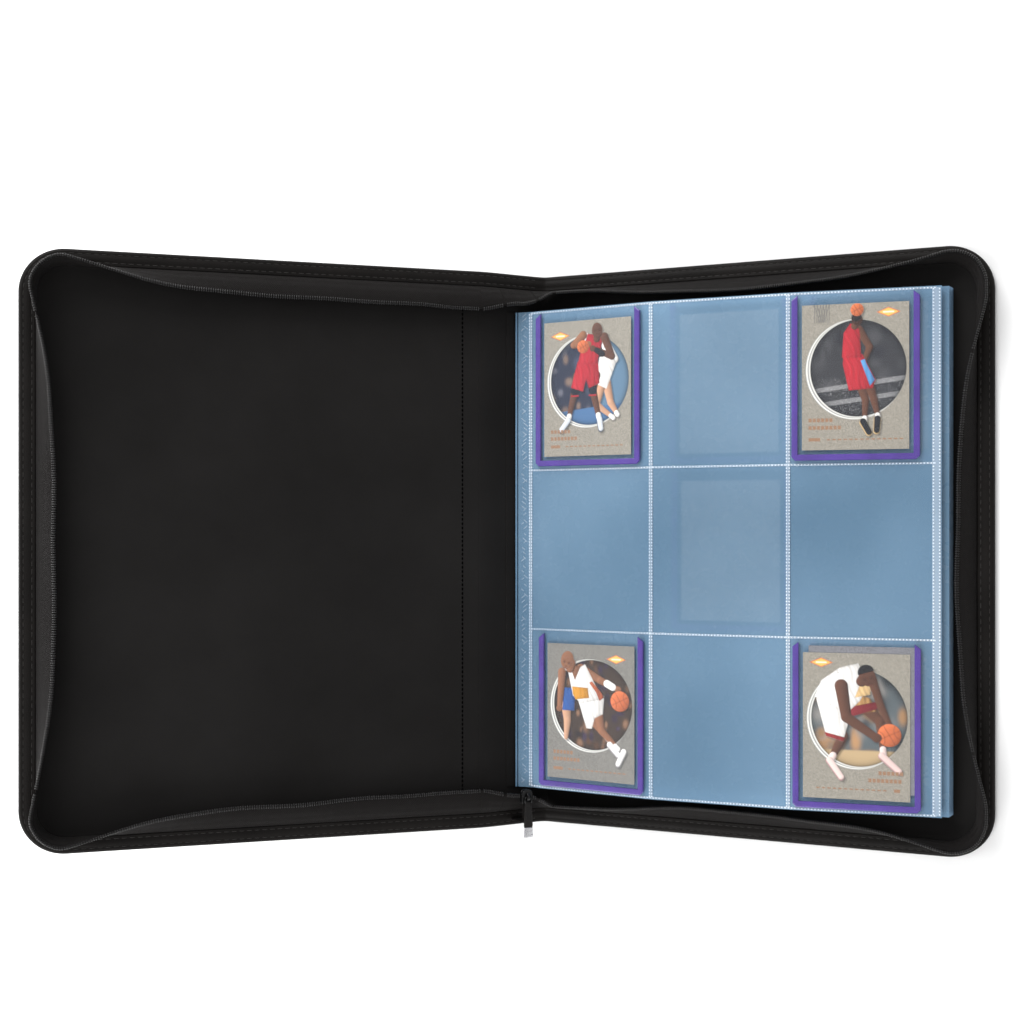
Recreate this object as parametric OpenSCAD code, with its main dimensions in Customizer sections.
// Zip-around trading card binder, lying open, with clear nine-pocket leaves.
// The back cover lies flat on its outer face. The spine rises from it, and the
// front cover leans back from the spine as far as the sewn zipper ends let it.
// Origin: the middle of the back cover's outer face. +X points to the fore-edge
// of the back cover, +Y to the head of the binder, and +Z up.

/* [Card and toploader] */
// Width of a card
card_w = 63.5; // [50:0.5:80]
// Height of a card
card_h = 88.9; // [70:0.1:110]
// Thickness of a card
card_t = 0.35; // [0.2:0.05:0.9]
// Room for the card on each side and at the bottom, inside its toploader
card_play = 2.5; // [1:0.1:4]
// Width of the toploader's coloured rim, on its sides and bottom
rim_w = 3.8; // [2:0.1:6]
// How far the toploader stands above the card, at its open end
lip_h = 6.4; // [3:0.1:10]
// Thickness of one clear sheet of the toploader
sheet_t = 0.6; // [0.4:0.05:1]
// Gap between the toploader's two sheets
sheet_gap = 1.2; // [0.9:0.1:3]

/* [Leaves] */
// How much wider a pocket is than the toploader in it
pocket_play_w = 11.8; // [6:0.2:16]
// How much taller a pocket is than the toploader in it
pocket_play_h = 4.8; // [3:0.2:10]
// Thickness of one film
film_t = 0.3; // [0.2:0.05:0.5]
// Width of a leaf's margin at the spine
gutter_w = 9; // [6:0.5:14]
// Width of a leaf's margin at the fore-edge
margin_w = 3; // [2:0.5:8]
// Distance between two empty leaves at the fore-edge
leaf_pitch = 1.7; // [1:0.1:2.5]

/* [Covers] */
// Gap between the leaves and the binding at the head and tail
page_gap_y = 15.9; // [14:0.1:30]
// Gap between the lowest leaf and the back cover's binding at the fore-edge
page_gap_x = 6; // [5:0.5:30]
// Radius of the covers' outer corners
corner_r = 28; // [15:1:45]
// Thickness of the outer leatherette
skin_t = 1; // [0.6:0.1:1.4]
// Thickness of the greyboard
board_t = 2.4; // [1.6:0.1:3.2]
// Thickness of the lining
lining_t = 0.6; // [0.4:0.1:1]
// Width of the leatherette binding sewn along the edges
binding_w = 10.5; // [8:0.5:16]
// Thickness of that binding
binding_t = 1; // [0.6:0.1:1.2]
// Distance from a fold line to the boards on each side of it
fold_gap = 4.5; // [4.5:0.1:8]
// Height of the closed binder between its covers' outer faces, less one skin
spine_w = 46.5; // [44:0.5:64]

/* [Stance] */
// Angle from the back cover up to the spine; 90 is closed
spine_angle = 127.5; // [120:0.5:135]
// Angle from the back cover round to the front cover; 0 is closed
front_angle = 139.4; // [125:0.1:150]
// Height of the top leaf above the lining at its spine edge
leaf_rise = 19.5; // [17:0.5:24]
// Upward slope of the top leaf's first column
slope_1 = 6.1; // [3:0.1:8]
// Downward slope of its second column
slope_2 = 1.7; // [0.5:0.1:4]
// Downward slope of its third column
slope_3 = 7; // [4:0.1:9]

/* [Zipper] */
// Width of the tape that stands free inside the binding
tape_w = 20; // [16:0.5:21]
// Thickness of the tape
tape_t = 0.7; // [0.5:0.1:1]
// Diameter of the coil along the tape's edge
coil_d = 1.8; // [1.2:0.1:2.4]
// How far the tape leans in along the middle of an edge
tape_lean = 14; // [8:0.5:16]
// How far the tape leans out round the corners
tape_flare = 3; // [0:0.5:6]
// Width of the slider
slider_w = 8.2; // [6:0.1:11]
// Length of the slider
slider_l = 9.6; // [8:0.1:13]
// Thickness of the slider's body
slider_t = 3.6; // [3.4:0.1:6]
// Length of the pull tab
tab_l = 27; // [18:0.5:40]
// Width of the pull tab
tab_w = 7.4; // [5:0.1:9]

/* [Hidden] */

// Clearance between pieces that move past each other, and a hair for cuts
clear = 0.3;
hair = 0.01;

// Toploader
loader_w = card_w + 2 * (card_play + rim_w);
loader_h = card_h + card_play + rim_w + lip_h;
loader_t = 2 * sheet_t + sheet_gap;
card_rise = (loader_t - card_t) / 2;
rim_corner = 3;

// Leaves: three columns by three rows of pockets
columns = 3;
rows = 3;
leaf_count = 8;
pocket_w = loader_w + pocket_play_w;
pocket_h = loader_h + pocket_play_h;
leaf_h = rows * pocket_h;
bag_h = loader_t + 2 * clear;
loaded_pitch = bag_h + 2 * film_t + 4 * clear;
// Height of a toploader's lower face above its leaf's lowest film face
seat_z = 2 * film_t + clear / 2;
weld = 2.5;

// Covers and spine
cover_t = skin_t + board_t + lining_t;
cover_h = leaf_h + 2 * (binding_w + page_gap_y);
anchor_t = 1;
bead_d = 1.4;
bottom_start = 2.6;
cover_w = bottom_start + gutter_w + columns * pocket_w + margin_w + page_gap_x + binding_w;
fold_z = skin_t / 2;
flap_gap = 1.3;
inner_r = corner_r - binding_w;
base_y = cover_h / 2 - binding_w;
base_x = cover_w - binding_w;

// Leaf levels: share of the full rise that each leaf keeps, 1 at the top
floor_z = cover_t + 0.5;
full_stack = loaded_pitch + (leaf_count - 2) * leaf_pitch;
function level(k) = k == 1 ? 1 : (leaf_count - k) * leaf_pitch / full_stack;
function start_z(k) = floor_z + bead_d / 2 + (leaf_rise - bead_d / 2) * level(k);
// A leaf's spine edge keeps clear of the sloping spine
lean_x = 1 / tan(180 - spine_angle);
function spine_face_x(z) = (cover_t - fold_z) / sin(spine_angle) - (z - fold_z) * lean_x;
function start_x(k) = spine_face_x(start_z(k)) + anchor_t + bead_d + bottom_start;
slopes = [-slope_1, slope_1, -slope_2, -slope_3, -slope_3];
runs = [gutter_w, pocket_w, pocket_w, pocket_w, margin_w];
// Points of a leaf's outline at its weld lines, from the spine to the fore-edge
function leaf_x(k, i) = i == 0 ? start_x(k) : leaf_x(k, i - 1) + runs[i - 1] * cos(slopes[i - 1] * level(k));
function leaf_z(k, i) = i == 0 ? start_z(k) : leaf_z(k, i - 1) + runs[i - 1] * sin(slopes[i - 1] * level(k));

// Zipper line: it runs inside the binding from the fold line along the tail,
// up the fore-edge and back along the head
line_start = fold_gap;
side_l = base_x - inner_r - line_start;
arc_l = inner_r * PI / 2;
fore_l = 2 * (base_y - inner_r);
line_l = 2 * side_l + 2 * arc_l + fore_l;
corner_1 = side_l + arc_l / 2;
corner_2 = line_l - corner_1;
flare_reach = 18;
lean_reach = 85;

function smooth(t) = let (c = max(0, min(1, t))) c * c * (3 - 2 * c);
function corner_share(s) = let (d = min(abs(s - corner_1), abs(s - corner_2)))
    1 - smooth((d - flare_reach) / (lean_reach - flare_reach));
function lean(s, mid) = mid - (mid + tape_flare) * corner_share(s);
function line_angle(s) =
    s < side_l ? 0 :
    s < side_l + arc_l ? 90 * (s - side_l) / arc_l :
    s < side_l + arc_l + fore_l ? 90 :
    s < side_l + 2 * arc_l + fore_l ? 90 + 90 * (s - side_l - arc_l - fore_l) / arc_l : 180;
function line_point(s) =
    s < side_l ? [line_start + s, -base_y] :
    s < side_l + arc_l ?
        [base_x - inner_r + inner_r * sin(line_angle(s)), -base_y + inner_r - inner_r * cos(line_angle(s))] :
    s < side_l + arc_l + fore_l ? [base_x, -base_y + inner_r + s - side_l - arc_l] :
    s < side_l + 2 * arc_l + fore_l ?
        [base_x - inner_r + inner_r * sin(line_angle(s)), base_y - inner_r - inner_r * cos(line_angle(s))] :
        [line_start + line_l - s, base_y];
// A point that is lean off the zipper line to the inside, and high above the lining
function tape_point(s, in, up) = let (p = line_point(s), a = line_angle(s))
    [p[0] - in * sin(a), p[1] + in * cos(a), cover_t + up];
function rise(in, w) = sqrt(w * w - in * in);
// Stations along the zipper line, closer together round the corners
ring_step = 11;
arc_steps = 5;
function stations() = concat(
    [for (i = [0 : floor(side_l / ring_step)]) i * side_l / ceil(side_l / ring_step)],
    [for (i = [0 : arc_steps]) side_l + i * arc_l / arc_steps],
    [for (i = [1 : floor(fore_l / ring_step)]) side_l + arc_l + i * fore_l / ceil(fore_l / ring_step)],
    [for (i = [0 : arc_steps]) side_l + arc_l + fore_l + i * arc_l / arc_steps],
    [for (i = [1 : ceil(side_l / ring_step)]) line_l - side_l + i * side_l / ceil(side_l / ring_step)]);

leather = [0.13, 0.12, 0.115];
cloth = [0.15, 0.15, 0.155];
greyboard = [0.52, 0.5, 0.46];
twill = [0.16, 0.15, 0.145];
nylon = [0.3, 0.3, 0.3];
film = [0.55, 0.7, 0.84, 0.5];
purple = [0.33, 0.22, 0.68];
clear_pvc = [0.8, 0.86, 0.92, 0.4];
card_stock = [0.76, 0.74, 0.68];
black_metal = [0.07, 0.07, 0.08];

// Fold positions and poses of the three panels
module in_back() translate([-cover_w / 2, 0, 0]) children();
module in_spine() in_back() translate([0, 0, fold_z]) rotate([0, -spine_angle, 0])
    mirror([0, 0, 1]) translate([0, 0, -fold_z]) children();
front_fold_x = spine_w * cos(spine_angle);
front_fold_z = fold_z + spine_w * sin(spine_angle);
module in_front() in_back() translate([front_fold_x, 0, front_fold_z]) rotate([0, -front_angle, 0])
    mirror([0, 0, 1]) translate([0, 0, -fold_z]) children();

// Outline of a cover from x to its fore-edge, drawn in by inset on the three sewn sides
module cover_outline(x, inset) {
    r = corner_r - inset;
    half = cover_h / 2 - inset;
    far = cover_w - inset;
    translate([x, -half]) square([far - r - x, 2 * half]);
    translate([far - r - hair, r - half]) square([r + hair, 2 * (half - r)]);
    for (side = [-1, 1]) translate([far - r, side * (half - r)]) circle(r, $fn = 96);
}
module panel_skin() {
    linear_extrude(skin_t) cover_outline(flap_gap, binding_t);
}
module panel_board() {
    translate([0, 0, skin_t]) linear_extrude(board_t) cover_outline(fold_gap, binding_t);
}
module panel_lining() {
    translate([0, 0, skin_t + board_t]) linear_extrude(lining_t) cover_outline(fold_gap, binding_t);
}
// The binding turns over the edge and lies on the lining
module panel_binding() difference() {
    linear_extrude(cover_t + binding_t) cover_outline(fold_gap, 0);
    translate([0, 0, -hair]) linear_extrude(cover_t + hair) cover_outline(0, binding_t);
    translate([0, 0, -hair]) linear_extrude(cover_t + binding_t + 2 * hair) cover_outline(0, binding_w);
}
// Tape strip swept along the zipper line, t thick, from height lo to hi of its width
module tape_strip(places, mid, lo, hi, t, off) {
    corners = [for (s = places) let (
        in = lean(s, mid),
        up = rise(in, tape_w),
        a = lo / tape_w,
        b = hi / tape_w,
        nx = up / tape_w,
        nz = in / tape_w)
        for (p = [[a, off], [b, off], [b, off + t], [a, off + t]])
            tape_point(s, in * p[0] - nx * p[1], up * p[0] + nz * p[1])];
    rings = len(places);
    // Both broad sides split along the same diagonal, so a twisted strip keeps its thickness
    sides = [for (i = [0 : rings - 2]) for (j = [0 : 3]) let (a = 4 * i + j, b = 4 * i + (j + 1) % 4)
        for (face = j == 2 ? [[a, b, a + 4], [b, b + 4, a + 4]] : [[a, b, b + 4], [a, b + 4, a + 4]]) face];
    ends = [[3, 2, 1, 0], [for (j = [0 : 3]) 4 * (rings - 1) + j]];
    polyhedron(corners, concat(sides, ends), convexity = 8);
}
foot = 1.2;
coil_gap = 0.15;
module panel_tape(mid) tape_strip(stations(), mid, foot, tape_w - coil_d, tape_t, -tape_t / 2);
module panel_coil(mid)
    tape_strip(stations(), mid, tape_w - coil_d + coil_gap, tape_w, coil_d, -coil_d / 2);

module back_cover_skin() color(leather) in_back() panel_skin();
module back_cover_board() color(greyboard) in_back() panel_board();
module back_cover_lining() color(cloth) in_back() panel_lining();
module back_edge_binding() color(leather) in_back() panel_binding();
back_lean = tape_lean - 4;
module back_zipper_tape() color(twill) in_back() panel_tape(back_lean);
module back_zipper_coil() color(nylon) in_back() panel_coil(back_lean);
// Leatherette patch sewn over the tape at the middle of the fore-edge
patch_l = 93;
patch_t = 0.8;
patch_steps = 8;
module fore_edge_patch() color(leather) in_back()
    tape_strip([for (i = [0 : patch_steps]) line_l / 2 + (i / patch_steps - 0.5) * patch_l],
        back_lean, foot, tape_w - coil_d - 3, patch_t, -tape_t / 2 - clear - patch_t);

module front_cover_skin() color(leather) in_front() panel_skin();
module front_cover_board() color(greyboard) in_front() panel_board();
module front_cover_lining() color(cloth) in_front() panel_lining();
module front_edge_binding() color(leather) in_front() panel_binding();
module front_zipper_tape() color(twill) in_front() panel_tape(tape_lean);
module front_zipper_coil() color(nylon) in_front() panel_coil(tape_lean);

// Spine panel between the two folds
module spine_plate(gap, z, t, inset)
    translate([gap, inset - cover_h / 2, z]) cube([spine_w - 2 * gap, cover_h - 2 * inset, t]);
module spine_skin() color(leather) in_spine() spine_plate(flap_gap, 0, skin_t, binding_t);
module spine_board() color(greyboard) in_spine() spine_plate(fold_gap, skin_t, board_t, binding_t);
module spine_lining() color(cloth) in_spine()
    spine_plate(fold_gap, skin_t + board_t, lining_t, binding_t);
module spine_end_bindings() color(leather) in_spine() difference() {
    spine_plate(fold_gap, 0, cover_t + binding_t, 0);
    translate([0, 0, -hair]) spine_plate(0, 0, cover_t + hair, binding_t);
    translate([0, 0, -hair]) spine_plate(0, 0, cover_t + binding_t + 2 * hair, binding_w);
}
// Leatherette creases along the fold lines
module fold_strips() color(leather) in_spine() for (x = [0, spine_w])
    translate([x, 0, fold_z]) rotate([90, 0, 0])
        cylinder(h = cover_h - 2 * binding_t, d = skin_t, center = true, $fn = 24);

// Zipper tape ends, tucked in and sewn down along the head and tail of the spine
end_lean = 12;
end_rise = 10;
end_gap = fold_gap + 1;
module tape_end() rotate([90, 0, 90])
    linear_extrude(spine_w - 2 * end_gap) polygon([[0, foot], [tape_t, foot],
        [end_lean * 0.55 + tape_t, end_rise * 0.72], [end_lean, end_rise - tape_t],
        [end_lean, end_rise], [end_lean * 0.5, end_rise * 0.78]]);
module spine_tape_ends() color(twill) in_spine() {
    translate([end_gap, -base_y, cover_t]) tape_end();
    mirror([0, 1, 0]) translate([end_gap, -base_y, cover_t]) tape_end();
}

// Closed end of the zipper below the slider, with its folded tapes
slider_s = spine_w / 2 - 1;
slider_front = leaf_h / 2 + 0.8;
chain_w = 5;
chain_t = 1.5;
chain_z = cover_t + end_rise + clear + (slider_t - chain_t) / 2;
tail_end = cover_h / 2 - 4;
tail_w = 11;
tail_flap_t = 0.8;
module zipper_tail() color(twill) in_spine() translate([slider_s, 0, 0]) {
    translate([-chain_w / 2, -tail_end, chain_z])
        cube([chain_w, tail_end - slider_front - 1.5, chain_t]);
    translate([-tail_w / 2, -tail_end, cover_t + binding_t + clear])
        cube([tail_w, tail_flap_t, chain_z - cover_t - binding_t - clear + chain_t]);
}

slot_w = chain_w + 2 * clear;
slot_t = chain_t + 2 * clear;
// Slider: two wings round the chain and a bridge above that carries the tab's eye
slider_z = chain_z + chain_t / 2 - slider_t / 2;
bridge_h = 2.6;
bridge_t = 1.2;
bridge_w = 2.4;
eye_gap = 1.4;
module zipper_slider() color(black_metal) in_spine()
    translate([slider_s, -slider_front - slider_l / 2, slider_z]) {
        difference() {
            intersection() {
                translate([-slider_w / 2, -slider_l / 2, 0]) cube([slider_w, slider_l, slider_t]);
                translate([0, slider_l * 0.35, -hair])
                    cylinder(h = slider_t + 1, r = slider_l * 0.87, $fn = 64);
            }
            translate([-slot_w / 2, -slider_l, (slider_t - slot_t) / 2])
                cube([slot_w, 2 * slider_l, slot_t]);
        }
        for (side = [-1, 1])
            translate([-bridge_w / 2, side * (eye_gap / 2 + bridge_t) - bridge_t / 2, slider_t - hair])
                cube([bridge_w, bridge_t, bridge_h - bridge_t + hair]);
        translate([-bridge_w / 2, -eye_gap / 2 - 1.5 * bridge_t, slider_t + bridge_h - bridge_t - hair])
            cube([bridge_w, eye_gap + 3 * bridge_t, bridge_t]);
    }

// Pull tab: a flat leather-covered tongue with an eye round the bridge
tab_t = 1.2;
tab_pin_d = 1;
tab_y = -slider_front - slider_l / 2;
tab_z = slider_z + slider_t + clear + tab_pin_d / 2;
eye_l = 4;
module pull_tab() color(black_metal) in_spine() translate([slider_s, tab_y, tab_z]) {
    rotate([0, 90, 0]) cylinder(h = tab_w - 1, d = tab_pin_d, center = true, $fn = 24);
    for (side = [-1, 1]) translate([side * (tab_w / 2 - 1) - 0.5, -eye_l, -tab_pin_d / 2])
        cube([1, eye_l, tab_pin_d]);
    translate([-tab_w / 2, -tab_l, -tab_pin_d / 2]) cube([tab_w, tab_l - eye_l + hair, tab_t]);
}

// Strip sewn up the middle of the spine, which the leaves' beads hang from
module page_anchor_strip() color(cloth) in_spine()
    translate([fold_gap + 1, -leaf_h / 2, cover_t])
        cube([spine_w - 2 * fold_gap - 12, leaf_h, anchor_t - clear]);

module at_leaf(k, i) in_back() translate([leaf_x(k, i), 0, leaf_z(k, i)])
    rotate([0, -slopes[min(i, 4)] * level(k), 0]) children();
module leaf_bead(k) color(film) in_back() translate([start_x(k) - bead_d / 2 - 2 * clear, 0, start_z(k)])
    rotate([90, 0, 0]) cylinder(h = leaf_h, d = bead_d, center = true, $fn = 24);
// One sheet that bends at the weld lines, from bottom up to bottom + t above the leaf's line
module leaf_sheet(k, bottom, t) in_back() rotate([90, 0, 0]) translate([0, 0, -leaf_h / 2])
    linear_extrude(leaf_h) polygon(concat(
        [for (i = [0 : 5]) [leaf_x(k, i), leaf_z(k, i) + bottom]],
        [for (i = [5 : -1 : 0]) [leaf_x(k, i), leaf_z(k, i) + bottom + t]]));
// A filled pocket bulges by bag_h. It is closed at the head, tail and fore-edge
// and open to the spine, and wall is how far its space lies inside its outline
module pocket_block(k, p, wall) at_leaf(k, p[0])
    translate([weld / 2 - hair * sign(wall), (p[1] - 1.5) * pocket_h + wall, film_t])
        cube([pocket_w - weld - wall, pocket_h - 2 * wall, bag_h + film_t - wall]);

// Where the four filled pockets are: [column, row, shift of the toploader in its pocket]
FILLED = [[1, 2, -0.9], [3, 2, -3.6], [1, 0, 1.5], [3, 0, -3]];
FILLED_2 = [[2, 2, 0], [2, 1, 1], [3, 2, 1.5], [3, 0, 1]];
// Lays its children in pocket p of leaf k, at the toploader's lower left corner
module at_pocket(k, p) at_leaf(k, p[0])
    translate([(pocket_w - loader_w) / 2 + p[2], (p[1] - 1.5) * pocket_h + pocket_play_h / 2, seat_z])
        children();
module loader_rim() difference() {
    linear_extrude(loader_t) union() {
        translate([0, rim_corner]) square([loader_w, loader_h - rim_corner]);
        translate([rim_corner, 0]) square([loader_w - 2 * rim_corner, rim_corner + hair]);
        for (x = [rim_corner, loader_w - rim_corner])
            translate([x, rim_corner]) circle(rim_corner, $fn = 32);
    }
    translate([rim_w, rim_w, -hair]) cube([loader_w - 2 * rim_w, loader_h, loader_t + 2 * hair]);
}
module loader_sleeve() for (z = [0, loader_t - sheet_t])
    translate([rim_w, rim_w, z]) cube([loader_w - 2 * rim_w, loader_h - rim_w, sheet_t]);
module loader_card()
    translate([rim_w + card_play, rim_w + card_play, card_rise]) cube([card_w, card_h, card_t]);

module toploader_rim(p) color(purple) at_pocket(1, p) loader_rim();
module toploader_sleeve(p) color(clear_pvc) at_pocket(1, p) loader_sleeve();
module toploader_card(p) color(card_stock) at_pocket(1, p) loader_card();

module leaf_back_film(k) color(film) leaf_sheet(k, 0, film_t);
module leaf_front_film(k, filled) color(film) difference() {
    union() {
        leaf_sheet(k, film_t + hair, film_t);
        for (p = filled) pocket_block(k, p, 0);
    }
    for (p = filled) pocket_block(k, p, film_t);
}
module leaf_films(k) color(film) leaf_sheet(k, 0, 2 * film_t);
module leaf_2_toploader_rims() color(purple) for (p = FILLED_2) at_pocket(2, p) loader_rim();
module leaf_2_toploader_sleeves() color(clear_pvc) for (p = FILLED_2) at_pocket(2, p) loader_sleeve();
module leaf_2_cards() color(card_stock) for (p = FILLED_2) at_pocket(2, p) loader_card();

back_cover_skin();
back_cover_board();
back_cover_lining();
back_edge_binding();
back_zipper_tape();
back_zipper_coil();
fore_edge_patch();
spine_skin();
spine_board();
spine_lining();
spine_end_bindings();
fold_strips();
spine_tape_ends();
zipper_tail();
page_anchor_strip();
front_cover_skin();
front_cover_board();
front_cover_lining();
front_edge_binding();
front_zipper_tape();
front_zipper_coil();
leaf_bead(1);  // leaf_1_bead
leaf_bead(2);  // leaf_2_bead
leaf_bead(3);  // leaf_3_bead
leaf_bead(4);  // leaf_4_bead
leaf_bead(5);  // leaf_5_bead
leaf_bead(6);  // leaf_6_bead
leaf_bead(7);  // leaf_7_bead
leaf_bead(8);  // leaf_8_bead
leaf_back_film(1);  // leaf_1_back_film
leaf_front_film(1, FILLED);  // leaf_1_front_film
leaf_back_film(2);  // leaf_2_back_film
leaf_front_film(2, FILLED_2);  // leaf_2_front_film
leaf_films(3);  // leaf_3_films
leaf_films(4);  // leaf_4_films
leaf_films(5);  // leaf_5_films
leaf_films(6);  // leaf_6_films
leaf_films(7);  // leaf_7_films
leaf_films(8);  // leaf_8_films
toploader_rim(FILLED[0]);  // upper_left_rim
toploader_sleeve(FILLED[0]);  // upper_left_sleeve
toploader_card(FILLED[0]);  // upper_left_card
toploader_rim(FILLED[1]);  // upper_right_rim
toploader_sleeve(FILLED[1]);  // upper_right_sleeve
toploader_card(FILLED[1]);  // upper_right_card
toploader_rim(FILLED[2]);  // lower_left_rim
toploader_sleeve(FILLED[2]);  // lower_left_sleeve
toploader_card(FILLED[2]);  // lower_left_card
toploader_rim(FILLED[3]);  // lower_right_rim
toploader_sleeve(FILLED[3]);  // lower_right_sleeve
toploader_card(FILLED[3]);  // lower_right_card
leaf_2_toploader_rims();
leaf_2_toploader_sleeves();
leaf_2_cards();
zipper_slider();
pull_tab();
